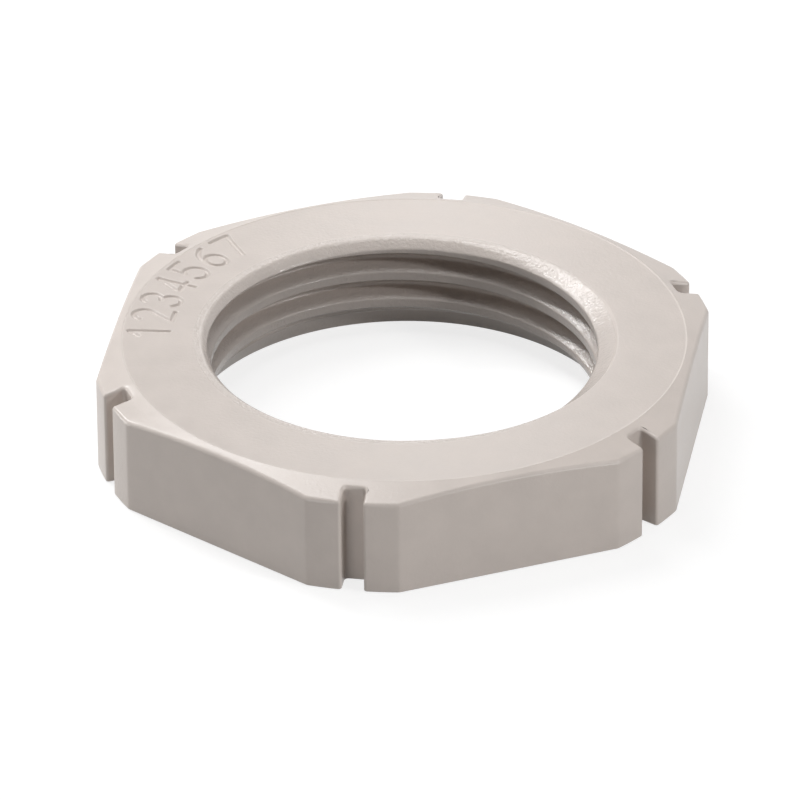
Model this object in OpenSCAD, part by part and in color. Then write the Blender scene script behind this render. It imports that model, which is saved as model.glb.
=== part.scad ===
// Locknut for a metric cable gland, moulded in one piece.
// The nut lies on its plain underside: +Z is up, and the origin is on the thread axis at that underside.

/* [Nut] */
// Distance across two opposite flats
across_flats = 28; // [27:0.1:29]
// How far the rounded corners stand out beyond the flats
corner_rise = 1.05; // [0.8:0.05:2]
// Height from the underside to the top ring
height = 5.2; // [4:0.1:10]

/* [Top face] */
// Width of the cone between the flat top ring and the middle of a flat
cone_width = 0.45; // [0.05:0.05:1.5]
// Slope of the cone that falls from the top ring to the rim, in degrees
cone_angle = 15; // [6:1:25]
// Radius of the rolled rim between the cone and the sides
rim_r = 0.25; // [0.1:0.05:0.5]

/* [Corner slots] */
// Width of the slot in each corner
slot_w = 1.05; // [0.7:0.05:2]
// Depth of a slot, from the rounded corner to its floor
slot_depth = 1.05; // [0.5:0.05:1.6]
// Radius between a slot's floor and its walls
slot_floor_r = 0.2; // [0.1:0.05:0.3]
// Radius of a slot's outer lips
slot_lip_r = 0.15; // [0.05:0.05:0.3]

/* [Thread] */
// Nominal thread diameter
thread_d = 20; // [16:0.5:21]
// Thread pitch
pitch = 1.5; // [1:0.25:2]
// Radial play of the groove over the nominal thread
thread_play = 0.05; // [0:0.01:0.1]
// Depth cut off the crests, over the basic thread form
crest_cut = 0.11; // [0:0.01:0.15]
// Direction in which the groove runs out through the top ring, in degrees from +X
exit_angle = 25; // [0:5:355]
// How far the groove's upper flank is raised where it runs out
exit_rise = 0.14; // [0:0.02:0.2]
// How much deeper the groove is where it runs out
exit_depth = 0.15; // [0:0.05:0.25]

/* [Countersinks] */
// Depth of the 45 degree countersink above the thread
top_sink = 0.45; // [0.1:0.05:0.6]
// Depth of the relief below the thread, up to its first crest
relief_depth = 1.4; // [0.9:0.05:1.8]
// Radial play of the relief over the groove
relief_play = 0.2; // [0.1:0.05:0.5]
// How much wider the relief is at the underside
relief_flare = 0.3; // [0.05:0.05:0.8]

/* [Hidden] */
$fn = 96;
flat_r = across_flats / 2;
corner_r = flat_r + corner_rise;
ring_r = flat_r - cone_width;
// How far a cutter runs past the faces that it opens
past = 1;

// Metric thread form: flanks at 30 degrees, a root flat of an eighth of the pitch, and crests at
// 5/8 of the height of the sharp V, less what is cut off them.
flank_angle = 30;
root_flat = pitch / 8;
major_r = thread_d / 2 + thread_play;
minor_r = thread_d / 2 - 5 / 8 * pitch * cos(flank_angle) + crest_cut;
// How far the groove's section reaches inside the crests
groove_reach = pitch / 25;
turn_steps = 48;
// The groove opens between these two places, in turns before its middle is level with the top ring.
opens_at = 0.75;
open_at = 0.25;

// The rim of a flat is where the cone meets it: a shallow arch that falls rim_sag to each end.
half_flat = sqrt(corner_r * corner_r - flat_r * flat_r);
rim_sag = corner_rise * tan(cone_angle);
arch_r = (half_flat * half_flat + rim_sag * rim_sag) / (2 * rim_sag);
arch_top = height - cone_width * tan(cone_angle);
// The rolled rim crosses the cone this much out of tangent, so that the two surfaces meet in a clean line
rim_lift = 0.01;

// The round blank, as the six corners show it: a cone falls from the flat ring and rolls over into the side.
module blank() {
    roll_r = corner_r - rim_r;
    roll_z = height - (roll_r - ring_r) * tan(cone_angle) - rim_r / cos(cone_angle);
    rotate_extrude() {
        polygon([
            [0, 0],
            [corner_r, 0],
            [corner_r, roll_z],
            [roll_r + rim_r * sin(cone_angle), roll_z + rim_r * cos(cone_angle)],
            [ring_r, height],
            [0, height]
        ]);
        translate([roll_r, roll_z]) circle(r = rim_r);
    }
}

// A barrel that lies across the nut along X. Its flat ends are two opposite flats, and its own rolled
// edges, on the radius of the arch, are their rolled rims. Between them it stays clear above the cone.
module barrel() {
    roll_r = arch_r + rim_r * tan(cone_angle) - rim_r / cos(cone_angle);
    roll_x = flat_r - rim_r;
    edge_r = roll_r + rim_r * cos(cone_angle);
    edge_x = roll_x + rim_r * sin(cone_angle);
    clear_slope = 2 * cone_angle;
    translate([0, 0, arch_top + rim_lift - arch_r])
        rotate([0, 90, 0])
            rotate_extrude() {
                polygon([
                    [0, -flat_r],
                    [roll_r, -flat_r],
                    [edge_r, -edge_x],
                    [edge_r + edge_x * tan(clear_slope), 0],
                    [edge_r, edge_x],
                    [roll_r, flat_r],
                    [0, flat_r]
                ]);
                for (end = [-1, 1])
                    translate([roll_r, end * roll_x]) circle(r = rim_r);
            }
}

// Outline of one corner slot, which opens along +X: round floor corners and round outer lips.
module slot_outline() {
    floor_x = corner_r - slot_depth;
    run = slot_depth + past;
    translate([floor_x + slot_floor_r, -slot_w / 2])
        square([run - slot_floor_r, slot_w]);
    translate([floor_x, -slot_w / 2 + slot_floor_r])
        square([run, slot_w - 2 * slot_floor_r]);
    for (side = [-1, 1])
        translate([floor_x + slot_floor_r, side * (slot_w / 2 - slot_floor_r)])
            circle(r = slot_floor_r);
    difference() {
        translate([corner_r - slot_lip_r, -slot_w / 2 - slot_lip_r])
            square([slot_lip_r + past, slot_w + 2 * slot_lip_r]);
        for (side = [-1, 1])
            translate([corner_r - slot_lip_r, side * (slot_w / 2 + slot_lip_r)])
                circle(r = slot_lip_r);
    }
}

// The slots, one through each rounded corner. The flats face along X, so the first corner is at 30 degrees.
module corner_slots() {
    for (angle = [30 : 60 : 330])
        rotate([0, 0, angle])
            translate([0, 0, -past])
                linear_extrude(height + 2 * past) slot_outline();
}

// The bore at the thread's crests, with the countersink on top and the relief below, where a shoulder
// on the slope of the flanks leads from the crests out to a steep wall.
module bore() {
    wall_r = major_r + relief_play;
    wall_z = relief_depth - (wall_r - minor_r) * tan(flank_angle);
    rotate_extrude()
        polygon([
            [0, -past],
            [wall_r + relief_flare, -past],
            [wall_r + relief_flare, 0],
            [wall_r, wall_z],
            [minor_r, relief_depth],
            [minor_r, height - top_sink],
            [minor_r + top_sink + past, height + past],
            [0, height + past]
        ]);
}

// Section of the groove, narrow at the root and wide inside the bore. As it opens from 0 to 1, the upper
// flank is raised, and the root goes deeper along the lower flank.
function groove_section(open) =
    let (
        inner_r = minor_r - groove_reach,
        inner_half = root_flat / 2 + (major_r - inner_r) * tan(flank_angle),
        root_r = major_r + open * exit_depth,
        sunk = open * exit_depth * tan(flank_angle),
        rise = open * exit_rise
    )
    [
        [inner_r, -inner_half],
        [root_r, sunk - root_flat / 2],
        [root_r, root_flat / 2 + rise - sunk],
        [inner_r, inner_half + rise]
    ];

// Right-hand thread groove: the section swept along the helix, from a pitch below the nut to a pitch
// above it. Its middle is level with the top ring at exit_angle.
module groove() {
    sides = len(groove_section(0));
    rings = ceil((height / pitch + 2) * turn_steps);
    // Turns from the top ring to each ring of points: the last is one turn above it.
    turns = [for (i = [0 : rings]) 1 - (rings - i) / turn_steps];
    points = [
        for (t = turns)
            let (
                angle = exit_angle + 360 * t,
                open = min(1, max(0, (opens_at + t) / (opens_at - open_at)))
            )
                for (p = groove_section(open))
                    [p[0] * cos(angle), p[0] * sin(angle), height + pitch * t + p[1]]
    ];
    walls = [
        for (i = [0 : rings - 1], k = [0 : sides - 1])
            let (a = i * sides + k, b = i * sides + (k + 1) % sides)
                each [[a, b, a + sides], [b, b + sides, a + sides]]
    ];
    first_end = [for (k = [sides - 1 : -1 : 0]) k];
    last_end = [for (k = [0 : sides - 1]) rings * sides + k];
    polyhedron(points = points, faces = concat(walls, [first_end, last_end]));
}

// The whole nut: the blank between its three pairs of flats, slotted, bored and threaded.
module locknut() {
    color("#cfc8c1")
        difference() {
            difference() {
                intersection() {
                    blank();
                    barrel();
                    rotate([0, 0, 60]) barrel();
                    rotate([0, 0, 120]) barrel();
                }
                corner_slots();
                bore();
            }
            groove();
        }
}

locknut();
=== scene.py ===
"""Cable gland locknut: one moulded polyamide nut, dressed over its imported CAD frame, with a studio stage.

Blender works in metres. The surface functions below work in millimetres, and MM turns one into the other.
"""

import math

import bpy
import numpy as np
from bpy.props import FloatProperty, FloatVectorProperty, PointerProperty
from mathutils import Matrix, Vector


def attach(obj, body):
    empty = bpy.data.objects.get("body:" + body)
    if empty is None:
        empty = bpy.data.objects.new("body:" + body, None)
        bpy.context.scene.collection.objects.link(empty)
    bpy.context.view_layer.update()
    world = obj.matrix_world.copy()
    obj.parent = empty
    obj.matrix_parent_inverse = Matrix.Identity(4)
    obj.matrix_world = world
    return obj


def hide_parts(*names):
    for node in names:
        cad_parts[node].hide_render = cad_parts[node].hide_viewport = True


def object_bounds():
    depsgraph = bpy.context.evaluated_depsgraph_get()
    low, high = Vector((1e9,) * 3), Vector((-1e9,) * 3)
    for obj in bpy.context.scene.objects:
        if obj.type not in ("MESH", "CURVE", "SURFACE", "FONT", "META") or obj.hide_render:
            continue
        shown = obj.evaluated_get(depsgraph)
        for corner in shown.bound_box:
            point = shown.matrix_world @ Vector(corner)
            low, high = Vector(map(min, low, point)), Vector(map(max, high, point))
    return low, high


bl_info = {
    "name": "Cable gland locknut",
    "version": (1, 0, 0),
    "blender": (4, 5, 0),
    "location": "View3D > Sidebar > Locknut",
    "description": "Makes a moulded locknut with a metric thread, and the studio that it is shown in",
    "category": "Object",
}

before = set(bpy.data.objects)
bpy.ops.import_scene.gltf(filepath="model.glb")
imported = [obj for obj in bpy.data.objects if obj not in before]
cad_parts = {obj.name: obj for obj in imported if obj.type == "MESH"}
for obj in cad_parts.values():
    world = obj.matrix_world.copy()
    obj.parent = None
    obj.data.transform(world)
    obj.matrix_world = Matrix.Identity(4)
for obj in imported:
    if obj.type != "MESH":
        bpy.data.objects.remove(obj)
CAD_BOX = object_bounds()
MM = 0.001
TURN = 2 * math.pi
CORNERS = 6
ACROSS_FLATS = 0.0280
FLANK_ANGLE = math.radians(30)
# The groove opens between these two places, in turns before its middle is level with the top ring.
OPENS_AT = 0.75
OPEN_AT = 0.25
# How softly edges are rounded in the bore, in millimetres: on the thread's crests and roots, and where
# the relief and the countersink meet the thread.
THREAD_SOFT = 0.08
SINK_SOFT = 0.05
# How softly a rounded corner runs into a flat, in millimetres.
FLAT_SOFT = 0.035
# Radius of the rolled rim beside a slot, in millimetres.
SLOT_RIM = 0.18
# Radius, in millimetres, at which the ring's points change from the bore's directions to the outline's.
MIDDLE_R = 10.75
# The fine step round the top ring: how high it stands, and over what width it runs out on the cone.
STEP_HEIGHT = 0.03
STEP_FADE = 0.5
# The numerals: the directions, in degrees from +X, at which they begin and end, and the radius in
# millimetres of the circle that they stand on.
FIGURES_FIRST = 190
FIGURES_LAST = 139
FIGURES_BASE = 11.3
# Width in millimetres of the soft side of a numeral's stroke.
FIGURE_SIDE = 0.08
# Angles between the finest columns, where the numerals are, and between the columns in the bore.
FIGURE_STEP = math.radians(0.2)
BORE_STEP = math.radians(0.55)
# The thread's coarser grain fades out between these two radii, in millimetres.
GRAIN_FROM = 10.05
GRAIN_TO = 10.2
# The floor: its own glow and its grey, which the eye sees, and the share of its colour that it throws
# back on the nut.
FLOOR_GLOW = 0.78
FLOOR_GREY = 0.3
FLOOR_BOUNCE = 0.35
# Half the side of the studio floor, and how far it lies below the nut so that the two share no plane
# when they are seen from below, in millimetres.
FLOOR_HALF = 600
FLOOR_DROP = 0.02
FLOOR_CORNERS = np.array([[-1, -1], [1, -1], [1, 1], [-1, 1]])
# The lamps: name, azimuth and elevation in degrees, then distance, width and depth in metres. Each has its
# power in the property of its name. The strips lie low and graze the sides.
LAMPS = (
    ("key", 237, 40, 0.25, 0.03, 0.03),
    ("left", 270, 40, 0.25, 0.08, 0.08),
    ("high", 225, 60, 0.25, 0.10, 0.10),
    ("top", 0, 90, 0.25, 0.12, 0.12),
    ("right", 75, 32, 0.25, 0.04, 0.04),
    ("back", 188, 31, 0.08, 0.015, 0.04),
    ("left_strip", 270, 1.6, 0.25, 0.13, 0.012),
    ("front_strip", 345, 1.6, 0.25, 0.13, 0.012),
    ("right_strip", 60, 1.6, 0.25, 0.13, 0.012),
)
# The camera's sensor and lens in millimetres, and the shift that frames the nut as shares of the frame.
SENSOR = 36.0
LENS = 416.06
SHIFT = (-0.00602, 0.03749)


# Properties: what a user would change.


def size(name, text, default):
    """A length property in metres."""
    return FloatProperty(
        name=name, description=text, default=default, min=0.0, precision=5, subtype="DISTANCE", unit="LENGTH"
    )


def tilt(name, text, degrees):
    """An angle property, given in degrees."""
    return FloatProperty(
        name=name, description=text, default=math.radians(degrees), subtype="ANGLE", unit="ROTATION"
    )


def paint(name, text, hex_value):
    """A colour property, given as an sRGB hex value."""
    return FloatVectorProperty(
        name=name, description=text, default=linear(hex_value), size=3, min=0.0, max=1.0, subtype="COLOR"
    )


def power(name, text, watts):
    """The power of a lamp, in watts."""
    return FloatProperty(name=name, description="Power, in watts, of " + text, default=watts, min=0.0)


def linear(hex_value):
    """An sRGB hex value as linear red, green and blue."""
    srgb = [int(hex_value[i : i + 2], 16) / 255 for i in (1, 3, 5)]
    return [c / 12.92 if c <= 0.04045 else ((c + 0.055) / 1.055) ** 2.4 for c in srgb]


class LocknutSizes(bpy.types.PropertyGroup):
    """Sizes of the nut."""

    across_flats: size("Across flats", "Distance across two opposite flats", ACROSS_FLATS)
    corner_rise: size("Corner rise", "How far the rounded corners stand out beyond the flats", 0.00105)
    height: size("Height", "From the underside to the top ring", CAD_BOX[1].z)
    cone_width: size("Cone width", "Width of the cone at the middle of a flat", 0.00045)
    cone_angle: tilt("Cone angle", "Slope of the cone outside the top ring", 15)
    rim_radius: size("Rim radius", "Radius of the rolled rim", 0.00025)
    slot_width: size("Slot width", "Width of a corner slot", 0.00105)
    slot_depth: size("Slot depth", "From the rounded corner to the slot's floor", 0.00105)
    slot_floor_radius: size("Slot floor radius", "Between a slot's floor and its walls", 0.0002)
    slot_lip_radius: size("Slot lip radius", "On a slot's outer lips", 0.00015)
    thread_diameter: size("Thread diameter", "Nominal diameter of the thread", 0.02)
    pitch: size("Pitch", "Rise of the thread in one turn", 0.0015)
    thread_play: size("Thread play", "Radial play of the groove over the nominal thread", 0.00005)
    crest_cut: size("Crest cut", "Depth cut off the crests, over the basic thread form", 0.00011)
    exit_angle: tilt("Exit angle", "Where the groove runs out through the top ring", 25)
    exit_rise: size("Exit rise", "How far the groove's upper flank is raised where it runs out", 0.00014)
    exit_depth: size("Exit depth", "How much deeper the groove is where it runs out", 0.00015)
    top_sink: size("Top countersink", "Depth of the countersink above the thread", 0.00045)
    relief_depth: size("Relief depth", "Depth of the relief below the thread, up to its first crest", 0.0014)
    relief_play: size("Relief play", "Radial play of the relief over the groove", 0.0002)
    relief_flare: size("Relief flare", "How much wider the relief is at the underside", 0.0003)
    mouth_radius: size("Mouth edge", "Soft edge round the top mouth of the bore", 0.00012)
    edge_radius: size("Small edges", "Soft edge along the underside", 0.00006)
    figure_height: size("Figure height", "Height of the numerals sunk in the ring", 0.00195)
    figure_stroke: size("Figure stroke", "Width of a numeral's stroke", 0.0002)
    figure_depth: size("Figure depth", "Depth of a numeral's stroke", 0.0001)


class LocknutColours(bpy.types.PropertyGroup):
    """Colours of the nut and of the floor."""

    polyamide: paint("Polyamide", "Light warm grey of the moulded nut", "#ccc2bb")
    floor: paint("Floor", "Pale studio floor", "#f6f5f3")


# Shapes as functions of two parameters.


class Nut:
    """The sizes in millimetres, with the values that follow from them."""

    def __init__(self, sizes):
        for name in LocknutSizes.__annotations__:
            value = getattr(sizes, name)
            setattr(self, name, value if name in ("cone_angle", "exit_angle") else value / MM)
        self.flat_r = self.across_flats / 2
        self.corner_r = self.flat_r + self.corner_rise
        self.ring_r = self.flat_r - self.cone_width
        self.major_r = self.thread_diameter / 2 + self.thread_play
        self.minor_r = self.thread_diameter / 2 - 5 / 8 * self.pitch * math.cos(FLANK_ANGLE) + self.crest_cut
        self.root_flat = self.pitch / 8
        # The relief's wall starts at this radius and height, where its shoulder ends.
        self.wall_r = self.major_r + self.relief_play
        self.wall_z = self.relief_depth - (self.wall_r - self.minor_r) * math.tan(FLANK_ANGLE)


def soft_min(a, b, soft):
    """The lesser of a and b.

    Where they differ by less than soft, a parabola rounds the corner between them.
    """
    h = np.clip(soft - np.abs(a - b), 0, None) / soft
    return np.minimum(a, b) - h * h * soft / 4


def soft_max(a, b, soft):
    """The greater of a and b, with the same parabola between them."""
    return -soft_min(-a, -b, soft)


def opened(place):
    """How far the groove has opened for its exit, from 0 to 1, at a place in turns from the top ring."""
    return np.clip((place + OPENS_AT) / (OPENS_AT - OPEN_AT), 0, 1)


def bore_radius(nut, theta, z):
    """Radius of the bore in direction theta at height z.

    How far z lies above the middle of the groove, along the axis, gives a radius on each flank by the
    flanks' slope, and the lesser of the two holds. It is kept between the crests and the root. The
    countersink and the relief, a steep wall with a shoulder above it, are taken where they are wider.
    """
    turns = (z - nut.height) / nut.pitch - (theta - nut.exit_angle) / TURN
    nearest = np.round(turns)
    off = (turns - nearest) * nut.pitch
    share = opened((theta - nut.exit_angle) / TURN + nearest)
    inside = nut.root_flat / 2 + np.minimum(off, share * nut.exit_rise - off)
    flank = nut.major_r + inside / math.tan(FLANK_ANGLE)
    root = nut.major_r + share * nut.exit_depth
    form = soft_max(soft_min(flank, root, THREAD_SOFT), nut.minor_r, THREAD_SOFT)
    wall = nut.wall_r + nut.relief_flare * (1 - z / nut.wall_z)
    shoulder = nut.minor_r + (nut.relief_depth - z) / math.tan(FLANK_ANGLE)
    sink = nut.minor_r + nut.top_sink - nut.height + z
    relief = soft_min(wall, shoulder, SINK_SOFT)
    return soft_max(soft_max(form, relief, SINK_SOFT), sink, SINK_SOFT)


def cone_height(nut, radius):
    """Height of the top face at a radius: level on the ring, and falling by the cone's slope outside it."""
    return nut.height - np.clip(radius - nut.ring_r, 0, None) * math.tan(nut.cone_angle)


def arc(cx, cy, radius, start, end, steps):
    """Points on an arc about (cx, cy), from start to end degrees, with the first one left out."""
    a = np.radians(np.linspace(start, end, steps + 1)[1:])
    return np.stack([cx + radius * np.cos(a), cy + radius * np.sin(a)], 1)


def line(start, end, steps):
    """Points from start to end, with the first one left out."""
    t = np.linspace(0, 1, steps + 1)[1:, None]
    return np.array(start) * (1 - t) + np.array(end) * t


def outline(nut, flat_steps=38):
    """Outline of the nut seen from above, with each point's direction on the top ring and its rim radius.

    Half a corner runs from the middle of a slot (along +X) over its fillet, wall and lip, and along the
    rounded corner to the middle of a flat. In polar form that last part is the lesser of the corner's
    circle and the flat's straight line. It is mirrored, and turned to each corner in turn.
    """
    floor_x = nut.corner_r - nut.slot_depth
    half = nut.slot_width / 2
    fillet, lip = nut.slot_floor_radius, nut.slot_lip_radius
    lip_x = math.sqrt((nut.corner_r - lip) ** 2 - (half + lip) ** 2)
    lip_end = math.degrees(math.atan2(half + lip, lip_x))
    slot = np.concatenate([
        [[floor_x, 0]],
        line((floor_x, 0), (floor_x, half - fillet), 3),
        arc(floor_x + fillet, half - fillet, fillet, 180, 90, 4),
        line((floor_x + fillet, half), (lip_x, half), 3),
        arc(lip_x, half + lip, lip, -90, lip_end, 4),
    ])
    sector = 180 / CORNERS
    bend = sector - math.degrees(math.acos(nut.flat_r / nut.corner_r))
    # The points lie closest together where the rounded corner bends into the flat.
    polar = np.concatenate([
        np.linspace(lip_end, bend - 1.2, 5)[1:],
        np.linspace(bend - 0.9, bend + 0.9, 7),
        np.linspace(bend + 0.9, sector, flat_steps)[1:],
    ])
    side = nut.flat_r / np.cos(np.radians(sector - polar))
    r = soft_min(nut.corner_r, side, FLAT_SOFT)
    a = np.radians(polar)
    xy = np.concatenate([slot, np.stack([r * np.cos(a), r * np.sin(a)], 1)])
    # On the ring, the slot's columns are spread evenly over a wider arc, and only the flat keeps its own
    # directions.
    run = np.concatenate([[0], np.cumsum(np.hypot(*np.diff(slot, axis=0).T))])
    spread = lip_end + 2.2
    ring = np.concatenate([
        run / run[-1] * spread,
        np.interp(polar, [lip_end, bend, sector], [spread, bend, sector]),
    ])
    rim = np.interp(ring, [0, spread, spread + 2], [SLOT_RIM, SLOT_RIM, nut.rim_radius])
    xy = np.concatenate([xy[:0:-1] * [1, -1], xy[:-1]])
    ring = np.concatenate([-ring[:0:-1], ring[:-1]])
    rim = np.concatenate([rim[:0:-1], rim[:-1]])
    turn = np.radians(sector + 2 * sector * np.arange(CORNERS))[:, None]
    x = np.cos(turn) * xy[:, 0] - np.sin(turn) * xy[:, 1]
    y = np.sin(turn) * xy[:, 0] + np.cos(turn) * xy[:, 1]
    return np.stack([x.ravel(), y.ravel()], 1), (turn + np.radians(ring)).ravel(), np.tile(rim, CORNERS)


def inward(xy):
    """At each point of a closed outline, the mitre that moves both its sides inwards by one."""
    before = xy - np.roll(xy, 1, 0)
    after = np.roll(xy, -1, 0) - xy
    n1 = np.stack([-before[:, 1], before[:, 0]], 1) / np.hypot(*before.T)[:, None]
    n2 = np.stack([-after[:, 1], after[:, 0]], 1) / np.hypot(*after.T)[:, None]
    mid = (n1 + n2) / np.hypot(*(n1 + n2).T)[:, None]
    return mid / (mid * n1).sum(1)[:, None]


def figure_strokes():
    """The numerals one to seven as chains of points, in cells one high, with x to the right and y up."""

    def bow(cx, cy, rx, ry, start, end):
        a = np.radians(np.linspace(start, end, 17))
        return np.stack([cx + rx * np.cos(a), cy + ry * np.sin(a)], 1)

    return [
        np.array([[0.06, 0.76], [0.30, 1.0], [0.30, 0.0]]),
        np.concatenate([bow(0.28, 0.74, 0.24, 0.26, 165, -35), [[0.04, 0.0], [0.54, 0.0]]]),
        np.concatenate([bow(0.27, 0.76, 0.22, 0.24, 150, -90), bow(0.27, 0.26, 0.25, 0.26, 90, -155)]),
        np.array([[0.54, 0.27], [0.02, 0.27], [0.40, 1.0], [0.40, 0.0]]),
        np.concatenate([[[0.48, 1.0], [0.10, 1.0]], bow(0.26, 0.31, 0.26, 0.31, 140, -150)]),
        np.concatenate([bow(0.62, 0.34, 0.58, 0.66, 105, 180), bow(0.29, 0.30, 0.25, 0.30, 180, 540)]),
        np.array([[0.03, 1.0], [0.53, 1.0], [0.20, 0.0]]),
    ]


def figure_sink(nut, radius, theta, first, last, base):
    """How deep the ring is sunk by the numerals at (radius, theta), in polar form.

    The numerals stand on a circle of radius base with their tops outwards, and read clockwise from
    first to last. Each point's distance to the nearest stroke gives a groove with soft sides.
    """
    strokes = figure_strokes()
    step = (first - last) / len(strokes)
    middle = base + nut.figure_height / 2
    near = np.full(np.broadcast(radius, theta).shape, 9.0)
    for i, chain in enumerate(strokes):
        x = (first - (i + 0.5) * step - theta) * middle
        y = radius - base
        chain = (chain - [0.28, 0]) * nut.figure_height
        for p, q in zip(chain[:-1], chain[1:]):
            d = q - p
            t = np.clip(((x - p[0]) * d[0] + (y - p[1]) * d[1]) / max(d @ d, 1e-9), 0, 1)
            near = np.minimum(near, np.hypot(x - p[0] - t * d[0], y - p[1] - t * d[1]))
    edge = np.clip((near - nut.figure_stroke / 2) / FIGURE_SIDE + 0.5, 0, 1)
    return nut.figure_depth * (1 - edge * edge * (3 - 2 * edge))


def curve(p0, p1, p2, shares):
    """Rows of points on the parabola that leaves p0 towards p1 and arrives at p2 from it."""
    t = np.array(shares)[:, None, None]
    return (1 - t) ** 2 * p0 + 2 * t * (1 - t) * p1 + t * t * p2


def nut_surface(nut):
    """The whole nut as one closed surface: points in millimetres, and triangles.

    One parameter runs round the nut, and the other round its section: up the bore, out over the
    ring and the cone, over the rolled rim, down the side, and in along the underside. In the bore,
    the rows climb with the thread, so a row keeps its place on the thread's form all the way round.
    Where rows or columns aren't needed they share the points of a neighbour, and the triangles that
    this flattens are left out.
    """
    xy, ring, rim = outline(nut)
    mitre = inward(xy)
    count = len(ring)

    # Columns: finer ones between the outline's own, where the numerals are, and fewer in the bore.
    first, last, base = math.radians(FIGURES_FIRST), math.radians(FIGURES_LAST), FIGURES_BASE
    margin = math.radians(1.5)
    step = np.diff(np.append(ring, ring[0] + TURN))
    marked = (ring > last - margin) & (ring < first + margin)
    parts = np.where(marked, np.ceil(step / FIGURE_STEP).astype(int), 1)
    owner = np.repeat(np.arange(count), parts)
    start = np.cumsum(parts) - parts
    share = (np.arange(len(owner)) - start[owner]) / parts[owner]
    theta = ring[owner] + share * step[owner]
    marked = marked[owner]
    cols = len(theta)
    every = np.arange(cols)
    outer = start[owner]
    bins = np.floor(ring / BORE_STEP)
    kept = np.maximum.accumulate(np.where(np.diff(bins, prepend=-1) > 0, np.arange(count), 0))
    inner = start[kept[owner]]
    xy, mitre, rim = xy[owner], mitre[owner], rim[owner]
    around = np.stack([np.cos(theta), np.sin(theta)], 1)

    def turned(radius, z):
        """A row, or rows, of points at a radius and height in each column's direction."""
        radius, z = np.broadcast_arrays(radius + 0 * theta, z + 0 * theta)
        return np.concatenate([radius[..., None] * around, z[..., None]], -1)

    def inset(distance, z):
        """The same along the outline, moved inwards by a distance."""
        distance, z = np.broadcast_arrays(distance + 0 * theta, z + 0 * theta)
        return np.concatenate([xy + distance[..., None] * mitre, z[..., None]], -1)

    rows, row_no, col_no = [], [], []
    made = 0

    def add(points, columns, numbers=None):
        """Adds rows that share columns, and returns the number of the first of them."""
        nonlocal made
        points = points.reshape(-1, cols, 3)
        if numbers is None:
            numbers = np.repeat(np.arange(made, made + len(points))[:, None], cols, 1)
        rows.append(points)
        row_no.append(numbers)
        col_no.append(np.broadcast_to(columns, numbers.shape))
        made += len(points)
        return made - len(points)

    # The bore: level rows up the relief, then rows that climb with the thread, and level rows again in the
    # countersink. Each climbing row has its own place in the pitch, closest together at the edges of crests
    # and root. Those above the groove's middle rise with its upper flank where it opens.
    soft = nut.mouth_radius
    foot_z, high = 0.7 * nut.edge_radius, nut.height - 0.7 * soft
    low = np.concatenate([
        np.linspace(foot_z, nut.wall_z - 0.05, 5),
        np.linspace(nut.wall_z, nut.relief_depth - 0.06, 9),
        nut.relief_depth + np.array([-0.02, 0.02]),
    ])[:, None]
    top = np.concatenate([
        nut.height - nut.top_sink + np.array([-0.02, 0.02, 0.06]),
        np.linspace(nut.height - nut.top_sink + 0.1, high, 7),
    ])[:, None]
    half_root = nut.root_flat / 2
    crest = half_root + (nut.major_r - nut.minor_r) * math.tan(FLANK_ANGLE)
    place = np.concatenate([
        [0, half_root - 0.02, half_root + 0.03],
        np.linspace(half_root + 0.07, crest - 0.05, 5),
        [crest - 0.015, crest + 0.02, crest + 0.06],
    ]) / nut.pitch
    place = np.concatenate([place, [0.5], 1 - place[:0:-1]])
    per_turn = len(place)
    climb = (theta - nut.exit_angle) / TURN
    whole = np.arange(math.floor(climb.min() - nut.height / nut.pitch - 2), math.ceil(climb.max() + 2))
    rising = [0, half_root, crest + 0.06, nut.pitch / 2]
    rise = nut.exit_rise * np.interp(place * nut.pitch, rising, [0, 1, 1, 0])
    rise = np.tile(rise, len(whole))
    groove = np.repeat(whole, per_turn)
    turns = (whole[:, None] + place).ravel()
    used = (turns > nut.exit_angle / TURN - nut.height / nut.pitch - 2) & (turns < nut.exit_angle / TURN + 1)
    turns, rise, groove = turns[used, None], rise[used, None], groove[used, None]
    z = nut.height + nut.pitch * (turns + climb) + rise * opened(groove + climb)
    add(turned(bore_radius(nut, theta, low), low), inner)
    thread_rows = slice(made, made + len(turns))
    numbers = np.repeat(np.arange(made, made + len(turns))[:, None], cols, 1)
    numbers[z < low[-1] + 0.02] = thread_rows.start - 1
    numbers[z > top[0] - 0.02] = thread_rows.stop
    add(turned(bore_radius(nut, theta, z), z), inner, numbers[:, inner])
    add(turned(bore_radius(nut, theta, top), top), inner)

    # The top mouth's edge, the ring with its numerals, and the cone.
    mouth = bore_radius(nut, theta, nut.height)
    lip = turned(mouth + soft, nut.height)
    r_high = bore_radius(nut, theta, high)
    add(curve(turned(r_high, high), turned(mouth, nut.height), lip, (0.25, 0.5, 0.75, 1)), inner)
    add(turned(MIDDLE_R, nut.height), outer)
    radius = np.linspace(base - 0.2, base + nut.figure_height + 0.18, 46)[:, None]
    sunk = turned(radius, nut.height - figure_sink(nut, radius, theta, first, last, base))
    numbers = made + np.repeat(np.arange(len(radius))[:, None], cols, 1)
    numbers[1:-1, ~marked] = made
    add(sunk, every, numbers)
    edge = np.array([-0.05, -0.02, 0.01, 0.05])[:, None]
    lift = STEP_HEIGHT * np.array([0, 2, 13, 15])[:, None] / 15
    add(turned(nut.ring_r + edge, cone_height(nut, nut.ring_r + edge) + lift), outer)

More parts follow.
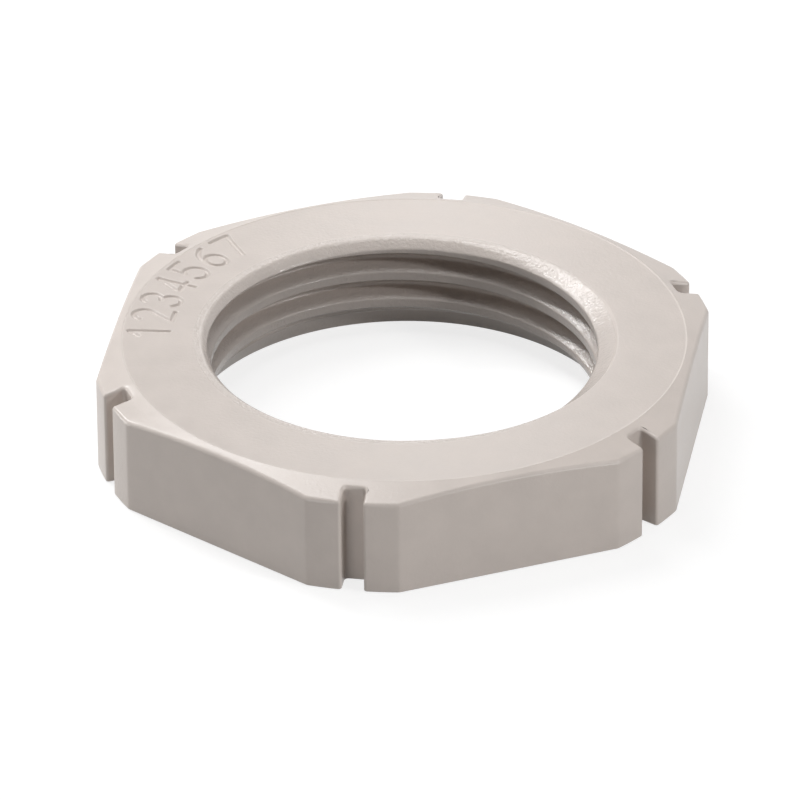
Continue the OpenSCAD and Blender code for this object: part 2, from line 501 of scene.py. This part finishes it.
    # The rolled rim turns from the cone's slope to upright.
    top = math.pi / 2 - nut.cone_angle
    touch = inset(rim * (1 - math.cos(top)), 0)[..., :2]
    t = np.array([0.3, 0.65])[:, None, None]
    inner_edge = (nut.ring_r + 0.05) * around
    slope = inner_edge * (1 - t) + touch * t
    reach = np.hypot(slope[..., 0], slope[..., 1])
    fade = np.clip(1 - (reach - nut.ring_r) / STEP_FADE, 0, 1)
    add(np.concatenate([slope, (cone_height(nut, reach) + STEP_HEIGHT * fade)[..., None]], -1), outer)
    z_touch = cone_height(nut, np.hypot(*touch.T))
    a = np.linspace(top, 0, 7)[:, None]
    z_rim = z_touch - rim * (math.sin(top) - np.sin(a))
    add(inset(rim * (1 - np.cos(a)), z_rim), outer)

    # The side, its small lower edge, the underside and the lower mouth's edge.
    small = nut.edge_radius
    t = np.array([0.06, 0.35, 0.65, 0.94])[:, None]
    add(inset(0, z_rim[-1] * (1 - t) + small * t), outer)
    a = np.linspace(0, math.pi / 2, 4)[:, None]
    add(inset(small * (1 - np.cos(a)), small * (1 - np.sin(a))), outer)
    add(turned(nut.ring_r - 0.3, 0), outer)
    foot = bore_radius(nut, theta, 0)
    lip = turned(foot + small, 0)
    add(lip, inner)
    add(curve(lip, turned(foot, 0), turned(bore_radius(nut, theta, foot_z), foot_z), (0.33, 0.66)), inner)

    points = np.concatenate(rows).reshape(-1, 3)
    ids = np.concatenate(row_no) * cols + np.concatenate(col_no)
    # Round the seam, the thread's rows meet those one turn further on.
    seam = ids[:, 0].copy()
    follow = np.arange(thread_rows.start, thread_rows.stop) + per_turn
    seam[thread_rows] = ids[np.minimum(follow, thread_rows.stop), 0]
    ids = np.concatenate([ids, seam[:, None]], 1)
    ids = np.concatenate([ids, ids[:1]])
    a, b, c, d = ids[:-1, :-1], ids[:-1, 1:], ids[1:, 1:], ids[1:, :-1]
    tris = np.concatenate([np.stack([a, d, c], -1).reshape(-1, 3), np.stack([a, c, b], -1).reshape(-1, 3)])
    flat = (tris[:, 0] == tris[:, 1]) | (tris[:, 1] == tris[:, 2]) | (tris[:, 2] == tris[:, 0])
    used, tris = np.unique(tris[~flat], return_inverse=True)
    return points[used], tris.reshape(-1, 3)


# Meshes.


def add_mesh(name, points, triangles, material):
    """Puts points (millimetres) and triangles into a new mesh object at the origin, smooth shaded.

    A point's normal is the sum of its triangles' normals by area, so that the small triangles of an
    edge don't bend the light on the wide faces beside them.
    """
    mesh = bpy.data.meshes.new(name)
    mesh.vertices.add(len(points))
    mesh.vertices.foreach_set("co", (points * MM).astype(np.float32).ravel())
    mesh.loops.add(triangles.size)
    mesh.loops.foreach_set("vertex_index", triangles.astype(np.int32).ravel())
    mesh.polygons.add(len(triangles))
    mesh.polygons.foreach_set("loop_start", np.arange(0, triangles.size, 3, dtype=np.int32))
    mesh.update(calc_edges=True)
    mesh.shade_smooth()
    a, b, c = (points[triangles[:, k]] for k in range(3))
    across = np.cross(b - a, c - a)
    normals = np.stack([
        np.bincount(triangles.ravel(), np.repeat(across[:, k], 3), len(points)) for k in range(3)
    ], 1)
    mesh.normals_split_custom_set_from_vertices(normals / np.linalg.norm(normals, axis=1)[:, None])
    mesh.materials.append(material)
    piece = bpy.data.objects.new(name, mesh)
    bpy.context.scene.collection.objects.link(piece)
    return piece


# Materials.


def new_material(name):
    """An empty node material with its output."""
    material = bpy.data.materials.new(name)
    material.use_nodes = True
    tree = material.node_tree
    tree.nodes.clear()
    return material, tree, tree.nodes.new("ShaderNodeOutputMaterial")


def add_node(tree, kind, settings=None, **inputs):
    """Adds a shader node. settings are its own properties, and inputs are values or other nodes' outputs,
    by the socket's name with _ for a space, or by _ and the socket's number."""
    node = tree.nodes.new("ShaderNode" + kind)
    for key, value in (settings or {}).items():
        setattr(node, key, value)
    for key, value in inputs.items():
        socket = node.inputs[int(key[1:])] if key[0] == "_" else node.inputs[key.replace("_", " ")]
        if isinstance(value, bpy.types.NodeSocket):
            tree.links.new(value, socket)
        else:
            socket.default_value = value
    return node


def per_mm(grain):
    """The scale of a pattern on Object coordinates whose grain measures so many millimetres."""
    return 1 / (grain * MM)


def moulded_polyamide(colours):
    """Polyamide 6, injection moulded against a spark-eroded steel core: light warm grey and satin.

    The eye sees a fine even grain that sparkles where a lamp is mirrored, most of all in the thread,
    and a faint cloudiness a few millimetres across where the melt has flowed.
    """
    material, tree, output = new_material("moulded_polyamide")
    place = add_node(tree, "TexCoord").outputs["Object"]
    # Spark erosion leaves pits of about 0.05 mm; they are drawn at 0.14 mm, which is as fine as shows.
    grain = add_node(tree, "TexNoise", Vector=place, Scale=per_mm(0.14), Detail=2.0, Roughness=0.6)
    pits = add_node(
        tree, "TexVoronoi", {"feature": "SMOOTH_F1"}, Vector=place, Scale=per_mm(0.2), Smoothness=0.4
    )
    # The clouds of the melt flow, 1.6 mm across.
    cloud = add_node(tree, "TexNoise", Vector=place, Scale=per_mm(1.6), Detail=4.0, Roughness=0.55)
    # The thread's core was eroded more coarsely than the faces: its share falls off outside the grooves.
    axes = add_node(tree, "SeparateXYZ", Vector=place)
    flat = add_node(tree, "CombineXYZ", X=axes.outputs["X"], Y=axes.outputs["Y"])
    radius = add_node(tree, "VectorMath", {"operation": "LENGTH"}, _0=flat.outputs["Vector"])
    threaded = add_node(
        tree, "MapRange", {"interpolation_type": "SMOOTHSTEP"}, Value=radius.outputs["Value"],
        From_Min=GRAIN_TO * MM, From_Max=GRAIN_FROM * MM, To_Min=0.0, To_Max=1.0,
    ).outputs["Result"]
    tone = add_node(
        tree, "MapRange", Value=cloud.outputs["Fac"], From_Min=0.3, From_Max=0.7, To_Min=0.97, To_Max=1.03
    )
    base = add_node(tree, "RGB")
    base.outputs["Color"].default_value = (*colours.polyamide, 1)
    colour = add_node(
        tree, "VectorMath", {"operation": "SCALE"}, _0=base.outputs["Color"], Scale=tone.outputs["Result"]
    )
    depth = add_node(tree, "MapRange", Value=threaded, To_Min=0.18, To_Max=0.6)
    fine = add_node(
        tree, "Bump", Strength=depth.outputs["Result"], Distance=0.05 * MM, Height=grain.outputs["Fac"]
    )
    pitted = add_node(
        tree, "Bump", Strength=depth.outputs["Result"], Distance=0.02 * MM, Height=pits.outputs["Distance"],
        Normal=fine.outputs["Normal"],
    )
    rough = add_node(
        tree, "MapRange", Value=cloud.outputs["Fac"], From_Min=0.3, From_Max=0.7, To_Min=0.29, To_Max=0.37
    )
    satin = add_node(tree, "Mix", {"data_type": "FLOAT"}, Factor=threaded)
    tree.links.new(rough.outputs["Result"], satin.inputs[2])
    satin.inputs[3].default_value = 0.20
    shader = add_node(
        tree, "BsdfPrincipled", Base_Color=colour.outputs["Vector"], Roughness=satin.outputs[0],
        IOR=1.53, Normal=pitted.outputs["Normal"],
    )
    tree.links.new(shader.outputs["BSDF"], output.inputs["Surface"])
    return material


def white_to_eye(tree, seen, hidden, output):
    """Shows one shader to the camera and in mirrored and transmitted light, and another to other light."""
    path = add_node(tree, "LightPath").outputs
    mirrored = add_node(
        tree, "Math", {"operation": "MAXIMUM"}, _0=path["Is Glossy Ray"], _1=path["Is Transmission Ray"]
    )
    direct = add_node(
        tree, "Math", {"operation": "MAXIMUM"}, _0=path["Is Camera Ray"], _1=mirrored.outputs["Value"]
    )
    mix = add_node(tree, "MixShader", _0=direct.outputs["Value"], _1=hidden, _2=seen)
    tree.links.new(mix.outputs["Shader"], output.inputs["Surface"])


def matt_paper(colours):
    """Matt white background paper.

    The eye sees plain white with a soft shadow under the nut. The paper throws little light up.
    """
    material, tree, output = new_material("matt_paper")
    glow = add_node(tree, "Emission", Color=(1, 1, 1, 1), Strength=FLOOR_GLOW)
    matt = add_node(tree, "BsdfDiffuse", Color=(*[FLOOR_GREY] * 3, 1))
    seen = add_node(tree, "AddShader", _0=glow.outputs["Emission"], _1=matt.outputs["BSDF"])
    dull = add_node(tree, "BsdfDiffuse", Color=(*[FLOOR_BOUNCE * c for c in colours.floor], 1))
    white_to_eye(tree, seen.outputs["Shader"], dull.outputs["BSDF"], output)
    return material


# The studio.


class StudioSettings(bpy.types.PropertyGroup):
    """The camera and the lamps."""

    elevation: tilt("Camera elevation", "How far the camera looks down", 30.484)
    azimuth: tilt("Camera azimuth", "How far the camera is turned round the nut", 9.602)
    roll: tilt("Camera roll", "Turn of the camera about its own axis", -0.411)
    distance: size("Camera distance", "From the camera to the nut's underside", 0.44622)
    key_power: power("Key", "the small lamp behind on the left, for the highlights in the thread", 0.165)
    left_power: power("Left", "the softbox on the left", 0.07)
    high_power: power("High", "the large softbox high up behind", 0.25)
    top_power: power("Top", "the softbox overhead", 0.15)
    right_power: power("Right", "the softbox on the right, for the spots on the bore's left wall", 0.15)
    back_power: power("Back", "the narrow lamp close behind, which gives the top ring its sheen", 0.0036)
    left_strip_power: power("Left strip", "the low strip light that grazes the left flats", 0.18)
    front_strip_power: power("Front strip", "the low strip light in front", 0.11)
    right_strip_power: power("Right strip", "the low strip light on the right", 0.17)
    ambient: FloatProperty(
        name="Ambient", description="Strength of the even light from all round", default=0.01, min=0.0
    )


def point_at(obj, azimuth, elevation, distance, target):
    """Stands obj round target, in degrees and metres, and turns it to it.

    Azimuth 0 is in front (-Y), and 90 to the right (+X).
    """
    a, e = math.radians(azimuth), math.radians(elevation)
    away = Vector((math.sin(a) * math.cos(e), -math.cos(a) * math.cos(e), math.sin(e)))
    obj.location = Vector(target) + away * distance
    obj.rotation_euler = away.to_track_quat("Z", "Y").to_euler()
    return obj


def add_softbox(name, azimuth, elevation, distance, width, depth, power, target=(0, 0, 0.003)):
    """A white area lamp round the nut; distances are metres."""
    lamp = bpy.data.lights.new(name, "AREA")
    lamp.shape = "RECTANGLE"
    lamp.size, lamp.size_y, lamp.energy = width, depth, power
    softbox = bpy.data.objects.new(name, lamp)
    bpy.context.scene.collection.objects.link(softbox)
    return point_at(softbox, azimuth, elevation, distance, target)


def add_camera(studio):
    """The camera at the photograph's angle, with the long lens and the small shift that frame the nut."""
    lens = bpy.data.cameras.new("camera")
    lens.sensor_width = SENSOR
    lens.lens = LENS
    lens.shift_x, lens.shift_y = SHIFT
    lens.clip_start, lens.clip_end = 0.02, 5.0
    camera = bpy.data.objects.new("camera", lens)
    bpy.context.scene.collection.objects.link(camera)
    point_at(camera, math.degrees(studio.azimuth), math.degrees(studio.elevation), studio.distance, (0, 0, 0))
    camera.rotation_euler.rotate_axis("Z", studio.roll)
    bpy.context.scene.camera = camera


def add_world(studio):
    """White to the camera and in mirrored light, and a plain even light on the nut."""
    world = bpy.data.worlds.new("studio")
    world.use_nodes = True
    tree = world.node_tree
    tree.nodes.clear()
    output = tree.nodes.new("ShaderNodeOutputWorld")
    seen = add_node(tree, "Background", Color=(1, 1, 1, 1), Strength=1.0)
    even = add_node(tree, "Background", Color=(1, 1, 1, 1), Strength=studio.ambient)
    white_to_eye(tree, seen.outputs["Background"], even.outputs["Background"], output)
    bpy.context.scene.world = world


# Operators and the panel.


class LOCKNUT_OT_nut(bpy.types.Operator):
    """Make the moulded nut over its CAD solid"""

    bl_idname = "locknut.nut"
    bl_label = "Nut"
    bl_options = {"REGISTER", "UNDO"}

    def execute(self, context):
        scene = context.scene
        points, triangles = nut_surface(Nut(scene.locknut_sizes))
        if not np.isfinite(points).all():
            raise RuntimeError("the nut's sizes don't give a surface")
        nut = add_mesh("moulded_locknut", points, triangles, moulded_polyamide(scene.locknut_colours))
        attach(nut, "root")
        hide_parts("locknut")
        return {"FINISHED"}


class LOCKNUT_OT_studio(bpy.types.Operator):
    """Set up the pale floor, the lamps and the camera"""

    bl_idname = "locknut.studio"
    bl_label = "Studio"
    bl_options = {"REGISTER", "UNDO"}

    def execute(self, context):
        scene = context.scene
        studio = scene.locknut_studio
        corners = np.array([[x, y, -FLOOR_DROP] for x, y in FLOOR_HALF * FLOOR_CORNERS])
        paper = matt_paper(scene.locknut_colours)
        floor = add_mesh("floor", corners, np.array([[0, 1, 2], [0, 2, 3]]), paper)
        for name, *place in LAMPS:
            add_softbox(name, *place, getattr(studio, name + "_power"))
        add_world(studio)
        add_camera(studio)
        scene.view_settings.view_transform = "Standard"
        return {"FINISHED"}


class LOCKNUT_PT_panel(bpy.types.Panel):
    """The nut's sizes and colours, and the buttons that make it"""

    bl_idname = "LOCKNUT_PT_panel"
    bl_label = "Locknut"
    bl_space_type = "VIEW_3D"
    bl_region_type = "UI"
    bl_category = "Locknut"

    def draw(self, context):
        scene = context.scene
        for group in (scene.locknut_sizes, scene.locknut_colours, scene.locknut_studio):
            box = self.layout.box()
            for name in type(group).__annotations__:
                box.prop(group, name)
        self.layout.operator(LOCKNUT_OT_nut.bl_idname)
        self.layout.operator(LOCKNUT_OT_studio.bl_idname)


CLASSES = (
    LocknutSizes,
    LocknutColours,
    StudioSettings,
    LOCKNUT_OT_nut,
    LOCKNUT_OT_studio,
    LOCKNUT_PT_panel,
)


def register():
    for cls in CLASSES:
        bpy.utils.register_class(cls)
    bpy.types.Scene.locknut_sizes = PointerProperty(type=LocknutSizes)
    bpy.types.Scene.locknut_colours = PointerProperty(type=LocknutColours)
    bpy.types.Scene.locknut_studio = PointerProperty(type=StudioSettings)


def unregister():
    del bpy.types.Scene.locknut_studio
    del bpy.types.Scene.locknut_colours
    del bpy.types.Scene.locknut_sizes
    for cls in reversed(CLASSES):
        bpy.utils.unregister_class(cls)


def main():
    register()
    bpy.ops.locknut.nut()
    bpy.ops.locknut.studio()


if __name__ == "__main__":
    main()
